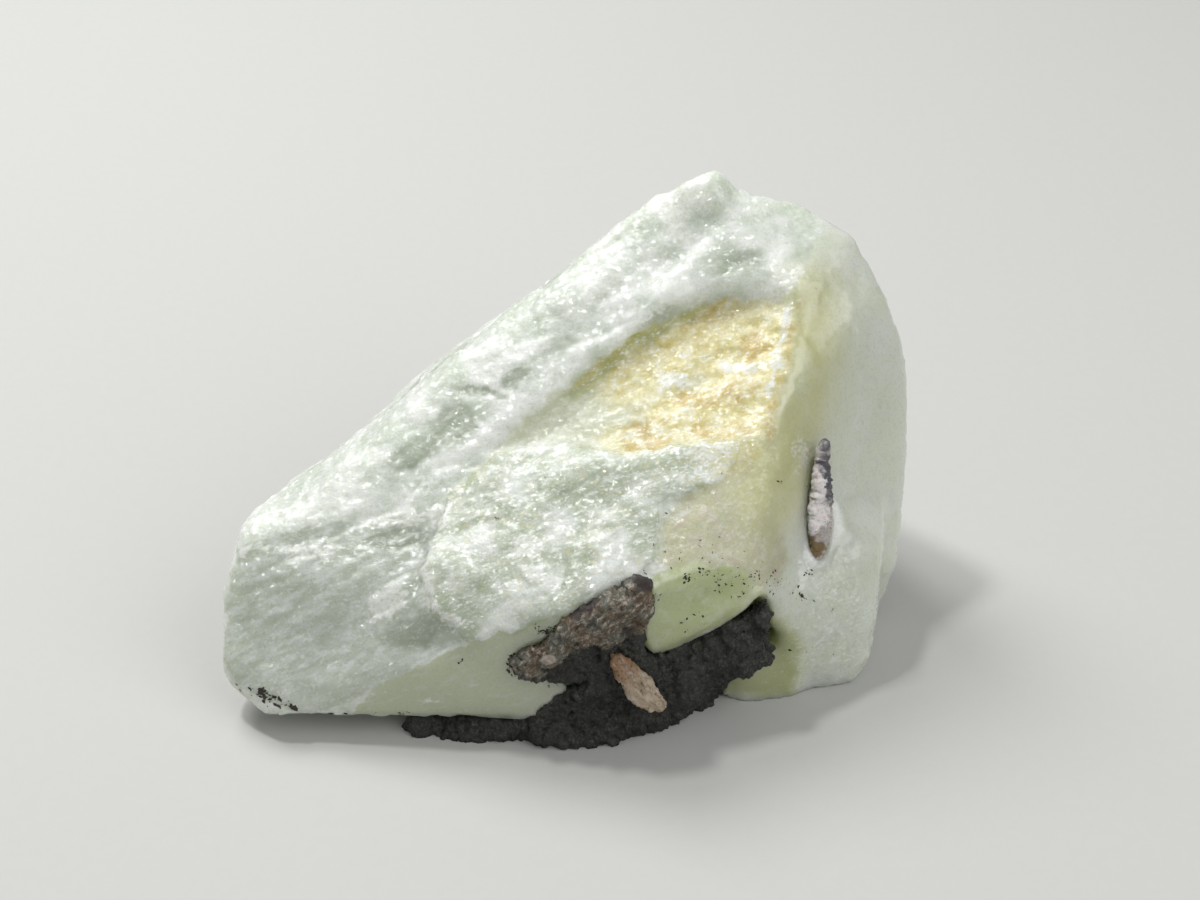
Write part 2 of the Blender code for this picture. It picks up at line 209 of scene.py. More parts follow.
# Where fine specks are strewn: the middle and half lengths in pixels, the turn, and how many.
STREWN = (
    (722, 580, 34, 14, -12, 40), (772, 578, 32, 12, 0, 40), (790, 592, 24, 12, 0, 14),
    (700, 552, 44, 26, 0, 24), (800, 655, 26, 10, 0, 10), (680, 628, 34, 14, 25, 12),
)
# Specks in rows: the row's corners in pixels, how many, how far they stray and the longest.
SPECK_ROWS = (
    (((244, 687), (262, 696), (278, 702), (298, 712)), 46, 3.5, 0.34),
    (((262, 690), (290, 692)), 8, 2.0, 0.26),
    (((325, 714), (353, 714)), 14, 0.8, 0.22),
    (((398, 713), (411, 713)), 8, 0.8, 0.22),
    (((659, 597), (645, 615), (634, 630), (632, 642), (636, 659)), 46, 3.0, 0.26),
    (((640, 655), (668, 666), (701, 643), (739, 617), (768, 594), (781, 580)), 70, 1.6, 0.2),
    (((684, 581), (701, 569), (714, 577), (726, 590)), 22, 2.0, 0.16),
    (((534, 623), (538, 632), (547, 631), (554, 625)), 34, 1.2, 0.22),
    (((529, 644), (522, 652), (509, 657), (508, 668), (514, 677)), 50, 1.2, 0.22),
    (((514, 677), (532, 676), (550, 673), (568, 672)), 44, 1.2, 0.2),
)

# Parts of the rock and of the crust in the pit that differ from the rest, as patches.
PALE_ROCK_PATCHES = (
    (548, 656, 10, 4, 22, 1.0), (664, 584, 7, 6, 0, 0.8), (590, 628, 16, 5, 10, 0.4),
)
CRUST_AREA = (
    (508, 655), (520, 645), (536, 620), (560, 624), (590, 610), (612, 592), (628, 570), (645, 566),
    (670, 588), (654, 602), (642, 620), (628, 640), (600, 645), (575, 645), (560, 662), (540, 674),
    (515, 678),
)
DARK_ROCK_PATCHES = (
    (648, 578, 11, 15, 0, 1.0), (545, 622, 9, 6, 0, 0.9), (511, 666, 6, 12, 0, 0.7),
    (598, 603, 16, 5, 35, 0.7), (628, 632, 10, 10, 0, 0.6), (560, 668, 14, 5, 0, 0.6),
)
THIN_ROCK_PATCHES = (
    (752, 603, 22, 12, 30, 1.0), (764, 636, 11, 7, 0, 1.0), (775, 618, 9, 9, 0, 0.6),
)
PIT_WHITE_PATCHES = ((816, 515, 12, 14, 0, 1.0), (812, 452, 9, 12, 0, 0.8), (819, 485, 5, 16, 0, 0.9))
PIT_DARK_PATCHES = ((827, 478, 6, 26, 5, 1.0), (822, 446, 7, 7, 0, 0.7), (806, 487, 4, 5, 0, 0.8))
PIT_BROWN_PATCHES = ((812, 542, 8, 14, 30, 1.0), (808, 462, 4, 9, 0, 0.6))


def linear(hex_colour):
    """The linear RGBA of an sRGB colour written as #RRGGBB."""
    shares = [int(hex_colour[i:i + 2], 16) / 255 for i in (1, 3, 5)]
    return (*[s / 12.92 if s <= 0.04045 else ((s + 0.055) / 1.055) ** 2.4 for s in shares], 1.0)


def colour_setting(name, hex_colour, description):
    return FloatVectorProperty(
        name=name, description=description, subtype="COLOR", size=4, min=0, max=1,
        default=linear(hex_colour),
    )


class DatoliteCrystalSettings(bpy.types.PropertyGroup):
    face_size: FloatProperty(
        name="Face size", description="Edge of the faces that make the broken surface",
        default=0.2 * MM, min=0.15 * MM, unit="LENGTH",
    )
    chip_height: FloatProperty(
        name="Chip height", description="How far the flat chips of the broken faces stand out",
        default=0.2 * MM, unit="LENGTH",
    )
    light_depth: FloatProperty(
        name="Light depth", description="How far light travels inside the crystal",
        default=2.6 * MM, unit="LENGTH",
    )
    haze: colour_setting("Haze", "#C3CBBC", "Grey green of the clear parts of the rough faces")
    frost: colour_setting("Frost", "#E2E4DE", "White of bruised and granular datolite")
    # Clear also draws two thin lines of painted shade round the rounded lobe at the top.
    clear: colour_setting("Clear", "#98A28B", "Grey green of the clearest places, which take light in")
    glass: colour_setting("Glass", "#C6CDBD", "Grey green of the glassy fracture face")
    streak: colour_setting("Streak", "#DBDFD9", "White of the streaks in the glassy face")
    silver: colour_setting("Silver", "#A6AF98", "Grey green under the glitter of the plate")
    wax: colour_setting("Wax", "#DEE3CF", "Pale green of the smooth right face")
    # Green is the crystal's yellow green, deepened to paint the glow of light through the thin low faces.
    green: colour_setting("Green", "#C0CA90", "Yellow green of the smooth low faces")
    # Moss is the low front face's grey olive, kept a little darker as painted shade.
    moss: colour_setting("Moss", "#C0C7A8", "Grey olive of the shaded low front face")
    tawny: colour_setting("Tawny", "#BDBC92", "Olive yellow of the smooth corner by the green face")
    cream: colour_setting("Cream", "#DDD39A", "Cream yellow of the iron stain")
    ochre: colour_setting("Ochre", "#C9BA68", "Ochre of the iron stain")
    orange: colour_setting("Orange", "#B8983F", "Orange brown of the strongest stain")
    # Olive is the stain's olive in the scoop, and is also laid as painted shade along the foot of the
    # step and on the low lip by the floor.
    olive: colour_setting("Olive", "#A8AD60", "Olive of the stain in the steps and creases")
    primrose: colour_setting("Primrose", "#CCCB90", "Yellow green of the right face beside the crease")
    beige: colour_setting("Beige", "#B9A792", "Pinkish beige of bruised corners")
    # Glint is painted: white flecks that stand for break faces catching the light.
    painted_glint: colour_setting("Glint", "#F1F2EE", "White of the single break faces that catch the light")
    # Gold is painted too: gold flecks that stand for stained break faces catching the light.
    painted_gold_glint: colour_setting("Gold", "#E2D08A", "Gold of the stained break faces among the glitter")


class HostRockSettings(bpy.types.PropertyGroup):
    face_size: FloatProperty(
        name="Face size", description="Edge of the faces that make the grainy surface",
        default=0.1 * MM, min=0.08 * MM, unit="LENGTH",
    )
    growth: FloatProperty(
        name="Growth", description="How far the rock grows into the gap around its solid",
        default=0.36 * MM, unit="LENGTH",
    )
    dark: colour_setting("Dark", "#171812", "Green black of the fine-grained rock")
    ash: colour_setting("Ash", "#54564A", "Grey green of its lighter grains")
    rust: colour_setting("Rust", "#5C4A33", "Rusty brown of its weathered crust")
    rim: colour_setting("Rim", "#24160E", "Dark brown of the crust's edge against the crystal")
    pale: colour_setting("Pale", "#AA9F92", "Pinkish grey of the light crystals in it")


class SmallPieceSettings(bpy.types.PropertyGroup):
    splinter_face: FloatProperty(
        name="Splinter face size", description="Edge of the faces that make the splinter",
        default=0.06 * MM, min=0.05 * MM, unit="LENGTH",
    )
    pit_face: FloatProperty(
        name="Pit face size", description="Edge of the faces that make the crust in the pit",
        default=0.07 * MM, min=0.05 * MM, unit="LENGTH",
    )
    splinter: colour_setting("Splinter", "#A89882", "Tan of the splinter")
    splinter_top: colour_setting("Splinter, top", "#86684A", "Orange brown of the splinter's upper end")
    splinter_dark: colour_setting("Splinter, dark", "#6B5138", "Brown of the splinter's grooves")
    pit_white: colour_setting("Pit white", "#E3DEDC", "Pinkish white of the crust in the pit")
    pit_grey: colour_setting("Pit grey", "#A5A2A0", "Grey of the crust in the pit")
    pit_dark: colour_setting("Pit dark", "#55545A", "Dark grey of the crust in the pit")
    pit_beige: colour_setting("Pit beige", "#BFB3AA", "Pinkish beige of the crust in the pit")
    pit_brown: colour_setting("Pit brown", "#786440", "Brown of the crust in the pit")
    speck: colour_setting("Speck", "#15110E", "Brown black of the specks")
    speck_brown: colour_setting("Speck brown", "#33261C", "Brown of some places on the specks")
    seed: IntProperty(name="Seed", description="Places the strewn specks", default=7)


class StageSettings(bpy.types.PropertyGroup):
    floor_colour: colour_setting("Floor", "#BBBBB7", "Plain pale floor")
    key_power: FloatProperty(
        name="Key", description="Power of the main soft light", default=0.7, unit="POWER",
    )
    spark_power: FloatProperty(
        name="Spark", description="Power of the small light that makes the break faces glitter",
        default=0.35, unit="POWER",
    )
    fill_power: FloatProperty(
        name="Fill", description="Power of the fill light", default=0.44, unit="POWER",
    )
    sky_colour: colour_setting("Sky", "#EEF0F2", "Colour of the even light from all round")
    sky_strength: FloatProperty(
        name="Surroundings", description="Strength of the even light", default=0.42,
    )


# Arrays of points


def smooth_step(value, start, end):
    part = np.clip((value - start) / (end - start), 0.0, 1.0)
    return part * part * (3 - 2 * part)


def points_and_normals(obj):
    """The mesh's points in millimetres, and which way its surface faces at each."""
    count = len(obj.data.vertices)
    points = np.empty(count * 3)
    normals = np.empty(count * 3, np.float32)
    obj.data.vertices.foreach_get("co", points)
    obj.data.vertex_normals.foreach_get("vector", normals)
    return points.reshape(-1, 3) / MM, normals.reshape(-1, 3).astype(float)


def put_points(obj, points):
    """Give the mesh its new points, in millimetres, kept inside the solids' box and on the floor."""
    low, high = (np.array(corner) for corner in CAD_BOX)
    obj.data.vertices.foreach_set("co", np.clip(points * MM, low, high).ravel())
    obj.data.update()


def photo_pixels(points):
    """Where points of the lump, in millimetres, fall in the photograph."""
    rays = points * MM - np.array(EYE)
    depth = rays @ np.array(FORWARD)
    across = PHOTO_WIDTH / 2 + PHOTO_FOCAL * (rays @ np.array(SIDE)) / depth
    down = PHOTO_HEIGHT / 2 - PHOTO_FOCAL * (rays @ np.array(UPWARD)) / depth
    return np.stack([across, down], axis=1)


def facing_photo(points, normals):
    """1 where the surface faces the photograph's camera, 0 where it faces away."""
    rays = points * MM - np.array(EYE)
    towards = -rays / np.linalg.norm(rays, axis=1)[:, None]
    return smooth_step((normals * towards).sum(1), 0.0, 0.2)


# Each finer octave of waves is this many times smaller, and weaker by this power of it.
WAVE_STEP = 2.1
WAVE_FALL = 0.8


def waves(points, size, octaves=1):
    """Smooth noise from about -1 to 1 with waves of this size, in millimetres."""
    scaled = (points / size).tolist()
    if octaves == 1:
        return np.array([noise.noise(p) for p in scaled])
    return np.array([noise.fractal(p, WAVE_FALL, WAVE_STEP, octaves) for p in scaled])


def stretched(points, way, stretch):
    """The points pressed together along way, so that a pattern on them comes out longer that way."""
    along = points @ way
    return points - np.outer(along * (1 - 1 / stretch), way)


def chips(points, size):
    """The relief of flat chips of this size, each tilted its own way, from about -1 to 1."""
    scaled = points / size
    centres = np.array([noise.voronoi(p)[1][0] for p in scaled.tolist()])
    turns = np.sin(centres @ np.array([[12.9, 4.1, 7.7], [78.2, 35.3, 9.1], [37.7, 61.9, 22.3]])) * 43.7
    tilts = 2 * (turns - np.floor(turns)) - 1
    return ((scaled - centres) * tilts).sum(1)


def in_area(pixels, outline, softness):
    """1 inside the outline and 0 outside, with an edge this many pixels soft."""
    corners = np.array(outline, float)
    nearest = np.full(len(pixels), np.inf)
    inside = np.zeros(len(pixels), bool)
    for start, end in zip(corners, np.roll(corners, -1, axis=0)):
        nearest = np.minimum(nearest, segment_distance(pixels, start, end))
        crosses = (start[1] > pixels[:, 1]) != (end[1] > pixels[:, 1])
        rise = end[1] - start[1] if end[1] != start[1] else 1e-9
        reach = start[0] + (pixels[:, 1] - start[1]) * (end[0] - start[0]) / rise
        inside ^= crosses & (pixels[:, 0] < reach)
    return smooth_step(np.where(inside, nearest, -nearest), -softness, softness)


def segment_distance(pixels, start, end):
    way = end - start
    part = np.clip(((pixels - start) @ way) / (way @ way), 0, 1)
    return np.linalg.norm(pixels - start - part[:, None] * way, axis=1)


def near_line(pixels, line, width):
    """1 on the line, falling to 0 at this many pixels from it."""
    corners = np.array(line, float)
    distances = [segment_distance(pixels, a, b) for a, b in zip(corners[:-1], corners[1:])]
    return 1 - smooth_step(np.min(distances, axis=0), 0, width)


def in_patches(pixels, patches):
    """How strongly any of the patches covers each place: 1 in the middle, 0.5 at its rim."""
    cover = np.zeros(len(pixels))
    for across, down, half_length, half_width, turn, strength in patches:
        angle = math.radians(turn)
        dx, dy = pixels[:, 0] - across, down - pixels[:, 1]
        along = (dx * math.cos(angle) + dy * math.sin(angle)) / half_length
        beside = (dy * math.cos(angle) - dx * math.sin(angle)) / half_width
        cover = np.maximum(cover, strength * (1 - smooth_step(np.hypot(along, beside), 0.4, 1.6)))
    return cover


def ragged(pixels, points, size, reach):
    """The pixels pushed about by noise, so that areas found from them get ragged edges."""
    push = [waves(points + aside, size, 3) for aside in (0.0, 31.0)]
    return pixels + np.stack(push, axis=1) * reach


def keep_masks(obj, masks):
    """Store each mask on the points of the mesh, for the material to read by name."""
    for name, values in masks.items():
        attribute = obj.data.attributes.new(name, "FLOAT", "POINT")
        attribute.data.foreach_set("value", np.clip(values, 0, 1).astype(np.float32))


# Meshes


def bake_modifiers(obj):
    """Make what the modifiers give the mesh itself."""
    graph = bpy.context.evaluated_depsgraph_get()
    mesh = bpy.data.meshes.new_from_object(obj.evaluated_get(graph))
    obj.modifiers.clear()
    obj.data = mesh


def soften(obj, times):
    soft = obj.modifiers.new("soft edges", "SMOOTH")
    soft.factor = 0.5
    soft.iterations = times
    bake_modifiers(obj)


def fine_copy(node, name, face_size, smoothing):
    """A copy of a solid with an even, fine skin, ready for its relief."""
    obj = bpy.data.objects.new(name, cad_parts[node].data.copy())
    bpy.context.scene.collection.objects.link(obj)
    obj.data.materials.clear()
    bm = bmesh.new()
    bm.from_mesh(obj.data)
    bmesh.ops.remove_doubles(bm, verts=bm.verts, dist=1e-6)
    bm.to_mesh(obj.data)
    bm.free()
    remesh = obj.modifiers.new("even skin", "REMESH")
    remesh.mode = "VOXEL"
    remesh.voxel_size = face_size
    soften(obj, smoothing)
    return obj


def dress(obj, node, material):
    """Shade the finished piece, give it its material and put it in the place of its solid."""
    obj.data.materials.clear()
    obj.data.materials.append(material)
    obj.data.shade_smooth()
    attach(obj, "root")
    if node:
        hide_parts(node)


def crystal_masks(points, normals):
    """What covers each place on the crystal: from the photograph's areas on its front, else noise."""
    front = facing_photo(points, normals)
    pixels = ragged(photo_pixels(points), points, 1.1, 5)
    areas = {
        "stain": in_patches(pixels, STAIN_PATCHES) * in_area(pixels, SCOOP_AREA, 4),
        "step": 0.4 * near_line(pixels, STEP_LINE, 14) + 0.4 * near_line(pixels, STEP_LINE[:4], 14),
        "crease": near_line(pixels, CREASE_LINE, 15),
        "blush": near_line(pixels, BLUSH_LINE, 58),
        "rim": np.max([near_line(ragged(pixels, points, 0.4, 3), line, 8) for line in RIM_LINES], axis=0),
        "orange": in_patches(pixels, ORANGE_PATCHES),
        "white": in_patches(pixels, WHITE_PATCHES),
        "patch": in_patches(pixels, CLEAR_AND_SHADE_PATCHES),
        "beige": in_patches(pixels, BEIGE_PATCHES),
    }
    areas.update({name: in_area(pixels, *area) for name, area in AREAS.items()})
    masks = {name: cover * front for name, cover in areas.items()}
    masks["hidden"] = hidden = 1 - front
    masks["waxy"] = np.maximum(masks["waxy"], 0.6 * hidden * smooth_step(points[:, 0], 11, 16))
    masks["deep"] = hidden * smooth_step(waves(points + 50, 6.5, 2), -0.15, 0.5)
    masks["moss"] = hidden * smooth_step(waves(points + 90, 5, 2), 0.1, 0.6)
    return masks


# How far some of what covers the crystal stands out of its surface, in millimetres, or lies in it.
COVER_HEIGHTS = {
    "stain": -0.16, "olive": -0.14, "step": -0.1, "crease": -0.12, "patch": -0.1, "white": 0.06,
}

# Within this distance of another solid the crystal's surface is plain, and stands out this far.
CONTACT_REACH, CONTACT_HEIGHT = 0.75, 0.12


def crystal_relief(points, masks, chip_height):
    """How far each place of the crystal stands out of its solid's surface, in millimetres."""
    smooth = masks["low"] + masks["green"] + masks["lip"] + 0.85 * masks["waxy"] + 0.7 * masks["tawny"]
    smooth = np.clip(smooth, 0, 1)
    rough = 1 - 0.88 * smooth * (1 - 0.6 * masks["foot"])
    rising = stretched(points, RISE_WAY, 2.6)
    lying = stretched(points, ACROSS_WAY, 2.2)
    height = 0.09 * waves(points, 3.5)
    calm = 1 - 0.5 * masks["glass"] - 0.65 * masks["silver"] + 0.7 * masks["hidden"]
    height += rough * calm * chip_height * (0.6 * chips(rising, 2.2) + 0.35 * chips(lying + 9, 1.1))
    height += rough * 0.35 * chip_height * chips(points + 33, 0.55)
    height += rough * 0.03 * waves(points, 0.7, 4)
    streaks = np.abs(waves(stretched(points, STREAK_WAY, 7) + 70, 0.9, 3))
    height += masks["glass"] * (0.05 - 0.16 * streaks)
    height += (0.6 * masks["stain"] + 0.6 * masks["silver"]) * 0.05 * chips(lying + 21, 0.5)
    height += 0.3 * masks["silver"] * (1 - masks["stain"])
    height += masks["foot"] * 0.08 * waves(points, 1.1, 3)
    for name, level in COVER_HEIGHTS.items():
        height += level * masks[name]
    return height


def near_solid(points, node, reach):
    """1 where a place touches the solid, falling to 0 at this distance from it, in millimetres."""
    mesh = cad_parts[node].data
    corners = [v.co for v in mesh.vertices]
    tree = BVHTree.FromPolygons(corners, [p.vertices[:] for p in mesh.polygons])
    distances = np.array([tree.find_nearest(Vector(p) * MM)[3] / MM for p in points.tolist()])
    return 1 - smooth_step(distances, 0.6 * reach, reach)


# Materials


def connect(tree, node, inputs):
    """Give sockets of a node, by name or number, their values or the outputs that they are linked to."""
    for socket, item in inputs.items():
        if isinstance(item, bpy.types.NodeSocket):
            tree.links.new(item, node.inputs[socket])
        else:
            node.inputs[socket].default_value = item


def add(tree, kind, inputs, out=0, **settings):
    """Add a shader node with its settings, values and links, and return one of its outputs."""
    node = tree.nodes.new("ShaderNode" + kind)
    for name, value in settings.items():
        setattr(node, name, value)
    connect(tree, node, inputs)
    return node.outputs[out]


def new_material(name, patterns, masks=()):
    """A material, its nodes, its shader, the places in millimetres, its patterns and its masks."""
    material = bpy.data.materials.new(name)
    material.use_nodes = True
    tree = material.node_tree
    place = add(tree, "TexCoord", {}, "Object")
    place = add(tree, "VectorMath", {0: place, 3: 1 / MM}, operation="SCALE")
    grown = []
    for size, octaves, strength, *drawn in patterns:
        where = place
        if drawn:
            where = add(tree, "Mapping", {"Vector": place, **drawn_out(*drawn)}, vector_type="TEXTURE")
        values = {"Vector": where, "Scale": 1 / size, "Detail": octaves, "Roughness": strength}
        grown.append(add(tree, "TexNoise", values))
    found = {mask: add(tree, "Attribute", {}, "Fac", attribute_name=mask) for mask in masks}
    return material, tree, tree.nodes["Principled BSDF"], place, grown, found


def drawn_out(way, stretch):
    """The turn and the scale of places that draw a pattern on them out along way."""
    return {"Rotation": Vector(way).to_track_quat("X", "Z").to_euler(), "Scale": (stretch, 1, 1)}


def share(tree, source, low, high, least=0.0, most=1.0, edge=None, within=None):
    """How much of a layer shows: from least where the source is low to most where it is high.

    edge is a pattern and how far it breaks up the source first. within is what the share is held in.
    """
    if edge:
        pattern, reach = edge
        shift = add(tree, "Math", {0: pattern, 1: reach, 2: -reach / 2}, operation="MULTIPLY_ADD")
        source = add(tree, "Math", {0: source, 1: shift}, operation="ADD")
    values = {"Value": source, "From Min": low, "From Max": high, "To Min": least, "To Max": most}
    shown = add(tree, "MapRange", values, interpolation_type="SMOOTHSTEP")
    if within is None:
        return shown
    return add(tree, "Math", {0: shown, 1: within}, operation="MULTIPLY")


def strongest(tree, *shares):
    """The highest of several shares at each place."""
    highest = shares[0]
    for other in shares[1:]:
        highest = add(tree, "Math", {0: highest, 1: other}, operation="MAXIMUM")
    return highest


# The sockets of a Mix node that mixes colours.
MIX_SHARE, MIX_FIRST, MIX_SECOND, MIX_RESULT = 0, 6, 7, 2


def layered(tree, colour, *layers):
    """The colour under layers from the lowest up: each its share, its shade and maybe its strength."""
    for shown, shade, *strength in layers:
        if strength:
            shown = add(tree, "Math", {0: shown, 1: strength[0]}, operation="MULTIPLY")
        values = {MIX_SHARE: shown, MIX_FIRST: colour, MIX_SECOND: shade}
        colour = add(tree, "Mix", values, MIX_RESULT, data_type="RGBA")
    return colour


# The patterns: the size of the waves in millimetres, how many finer octaves they have and how strong
# those are, and for some the way and how many times they are drawn out.
CLOUD, MOTTLE, GRAIN = (2.6, 5, 0.55), (0.9, 5, 0.65), (0.16, 3, 0.7)
VEIL, WAVY = (0.5, 6, 0.68, STREAK_WAY, 3.5), (0.5, 5, 0.7, ACROSS_WAY, 2.6)
RIPPLE, FLECK = (0.3, 5, 0.72, ACROSS_WAY, 2.2), (0.17, 3, 0.62, ACROSS_WAY, 1.8)
ROCK_PATTERNS = ((0.16, 5, 0.75), (0.4, 5, 0.72), (1.2, 5, 0.65), (0.26, 5, 0.75, RISE_WAY, 2.2))
PIT_PATTERNS = ((0.16, 5, 0.75), (0.5, 4, 0.7))
SPECK_PATTERNS = ((0.3, 3, 0.55), (0.12, 3, 0.55))
FLOOR_TOOTH = (0.8, 3, 0.55)

# The small flat break faces: their size in millimetres, and how many times they are drawn out. Many
# real ones are finer, and these are as coarse as they need to be to show.
FLAKE_SIZE, FLAKE_STRETCH = 0.17, 1.5


def datolite_material(look, masks):
    """Raw datolite, freshly broken: milky, see-through for a few millimetres, greasy to glassy.

    To the eye it is bright and soft inside, with white bruises, a grey green glassy face, an iron
    stain in the scoop, and a glitter of small flat break faces, partly painted as white and gold flecks.
    """
    rows = (CLOUD, MOTTLE, GRAIN, VEIL, WAVY, RIPPLE, FLECK)
    material, tree, shader, place, patterns, mask = new_material("datolite, broken", rows, masks)
    cloud, mottle, grain, veil, wavy, ripple, fleck = patterns
    frosty = add(tree, "Math", {0: mottle, 1: 0.5, 2: fleck}, operation="MULTIPLY_ADD")
    smooth = strongest(tree, mask["low"], mask["green"], mask["waxy"], mask["lip"])
    smooth = add(tree, "Math", {0: mask["foot"], 1: -0.6, 2: smooth}, operation="MULTIPLY_ADD")
    rough = add(tree, "Math", {0: 1.0, 1: smooth}, operation="SUBTRACT")

    # The rough faces: white clouds over grey green, and patches on the hidden sides.
    colour = layered(
        tree, look.haze,
        (share(tree, cloud, 0.36, 0.62), look.frost),
        (share(tree, mottle, 0.42, 0.75), look.frost, 0.5),
        (share(tree, veil, 0.7, 0.4, 0.2, within=mask["deep"]), look.clear, 0.5),
        (share(tree, veil, 0.4, 0.65, within=mask["hidden"]), look.haze, 0.5),
        (share(tree, mottle, 0.3, 0.7, within=mask["moss"]), look.tawny, 0.6),
    )

    # The smooth faces: milky, with faint clouds, and yellow green where they thin out, deepened there as
    # painted glow of light through them; the low front face and the low lip get darker colour as painted
    # shade.
    waxy = layered(
        tree, look.wax,
        (share(tree, cloud, 0.3, 0.7, 0, 0.75), look.frost),
        (share(tree, mottle, 0.5, 0.75), look.haze, 0.5),
    )
    tawny = layered(
        tree, look.tawny,
        (share(tree, mottle, 0.45, 0.75, 0, 0.8), look.beige),
        (share(tree, veil, 0.5, 0.7), look.streak, 0.5),
        (share(tree, ripple, 0.42, 0.3), look.orange, 0.3),
    )
    low = layered(tree, look.moss, (share(tree, veil, 0.5, 0.75, 0, 0.6), look.streak))
    green = layered(tree, look.green, (share(tree, mottle, 0.42, 0.75, 0, 0.6), look.wax))
    colour = layered(
        tree, colour,
        (share(tree, mask["waxy"], 0.35, 0.65, edge=(mottle, 0.3)), waxy, 0.9),
        (mask["foot"], look.clear, 0.3),
        (share(tree, mask["tawny"], 0.25, 0.8, edge=(mottle, 0.5)), tawny, 0.85),
        # The low front face: grey olive, a little darker as painted shade.
        (share(tree, mask["low"], 0.35, 0.65, edge=(mottle, 0.25)), low, 0.95),
        # The thin green face: yellow green as painted glow of light through it.
        (share(tree, mask["green"], 0.35, 0.65, edge=(mottle, 0.25)), green, 0.95),
        # The low lip by the floor: darker olive as painted shade.
        (share(tree, mask["lip"], 0.1, 0.9, edge=(mottle, 0.3)), look.olive, 0.8),
    )

    # The glassy left face and the glittering plate: grey green, crossed by silvery streaks.
    glass = share(tree, mask["glass"], 0.35, 0.65, edge=(mottle, 0.3))
    silver = share(tree, mask["silver"], 0.35, 0.6, edge=(mottle, 0.3))
    glassy = layered(
        tree, look.glass,
        (share(tree, veil, 0.45, 0.66), look.streak),
        (share(tree, frosty, 0.78, 0.95), look.frost, 0.8),
    )
    plate = layered(
        tree, look.silver,
        (share(tree, cloud, 0.4, 0.66), look.streak),
        (share(tree, veil, 0.5, 0.72), look.frost, 0.5),
    )
    colour = layered(
        tree, colour,
        (glass, glassy),
        # Clear patches, with two thin lines of painted shade round the rounded lobe.
        (share(tree, mask["patch"], 0.2, 0.85, edge=(mottle, 0.5)), look.clear, 0.75),
        (silver, plate),
    )

    # The iron stain, the olive green where the crystal is clear beside it, and painted shade at the step.
    stain = share(tree, mask["stain"], 0.15, 0.95, edge=(wavy, 0.8))
    iron = layered(
        tree, look.ochre,
        (share(tree, mottle, 0.36, 0.56), look.cream),
        (share(tree, ripple, 0.5, 0.36), look.ochre, 0.4),
        (share(tree, cloud, 0.4, 0.6), look.primrose, 0.35),
        (share(tree, mottle, 0.54, 0.74), look.frost, 0.7),
    )
    crease = add(tree, "Math", {0: mask["crease"], 1: 0.45}, operation="MULTIPLY")
    orange = share(tree, strongest(tree, mask["orange"], crease), 0.15, 0.8)
    colour = layered(
        tree, colour,
        (share(tree, mask["olive"], 0.25, 0.9, edge=(veil, 0.6)), look.olive, 0.4),
        (share(tree, cloud, 0.2, 0.6, 0.5, within=mask["blush"]), look.primrose),
        (stain, iron, 0.95),
        # Olive along the foot of the step: the crystal's olive, darkened as painted shade of the step.
        (share(tree, mask["step"], 0.2, 0.9, edge=(wavy, 0.4)), look.olive, 0.7),
        (share(tree, mottle, 0.66, 0.4, within=orange), look.orange, 0.6),
        (share(tree, mask["beige"], 0.35, 0.65, edge=(mottle, 0.5)), look.beige, 0.5),
    )

    # White bruises, dense in the middle with single flecks round them, and painted glints on top.
    foot = add(tree, "Math", {0: mask["foot"], 1: 0.5}, operation="MULTIPLY")
    white = strongest(tree, mask["white"], mask["rim"], foot)
    white = share(tree, white, 0.1, 1.2, edge=(mottle, 1.0))
    white = share(tree, white, 0.2, 1.0, edge=(fleck, 2.6))
    bright = strongest(tree, silver, stain)
    cover = add(tree, "Math", {0: bright, 1: 0.4, 2: 0.2}, operation="MULTIPLY_ADD")
    cover = add(tree, "Math", {0: rough, 1: cover}, operation="MULTIPLY")
    colour = layered(
        tree, colour,
        (white, look.frost, 0.85),
        (share(tree, frosty, 0.76, 0.96, within=cover), look.painted_glint),
        (share(tree, frosty, 0.64, 0.58, within=bright), look.painted_gold_glint, 0.4),
        (share(tree, grain, 0.5, 0.35), look.clear, 0.22),
    )

    # Relief too fine for the mesh. Over it each break face is a flat mirror with its own tilt.
    bite = share(tree, rough, 0, 1, 0.2, 0.6)
    relief = add(tree, "Bump", {"Height": wavy, "Strength": bite, "Distance": 0.06 * MM})
    values = {"Height": grain, "Strength": bite, "Distance": 0.05 * MM, "Normal": relief}
    relief = add(tree, "Bump", values)
    values = {"Vector": place, **drawn_out(ACROSS_WAY, FLAKE_STRETCH)}
    flakes = add(tree, "Mapping", values, vector_type="TEXTURE")
    flakes = add(tree, "TexVoronoi", {"Vector": flakes, "Scale": 1 / FLAKE_SIZE}, "Color")
    tilt = add(tree, "VectorMath", {0: flakes, 1: (0.5, 0.5, 0.5)}, operation="SUBTRACT")
    tilt = add(tree, "VectorMath", {0: tilt, 3: share(tree, rough, 0, 1, 0.04, 0.8)}, operation="SCALE")
    mirror = add(tree, "VectorMath", {0: relief, 1: tilt}, operation="ADD")
    gloss = strongest(tree, glass, smooth)
    matt = share(tree, grain, 0.3, 0.7, 0.35, 0.65)
    clear = strongest(tree, gloss, mask["deep"])
    clear = add(tree, "Math", {0: clear, 1: white}, operation="SUBTRACT")
    connect(tree, shader, {
        "Base Color": colour,
        "Roughness": add(tree, "Mix", {0: gloss, 2: matt, 3: 0.34}, data_type="FLOAT"),
        "Normal": relief,
        "IOR": DATOLITE_IOR,
        "Transmission Weight": share(tree, clear, 0, 1, 0.08, 0.25),
        "Subsurface Weight": share(tree, bright, 0, 1, 0.8, 0.5),
        "Subsurface Radius": (1.0, 1.05, 0.8),
        "Subsurface Scale": look.light_depth,
        "Coat Weight": 0.7,
        "Coat Roughness": 0.07,
        "Coat IOR": DATOLITE_IOR,
        "Coat Normal": add(tree, "VectorMath", {0: mirror}, operation="NORMALIZE"),
    })
    return material


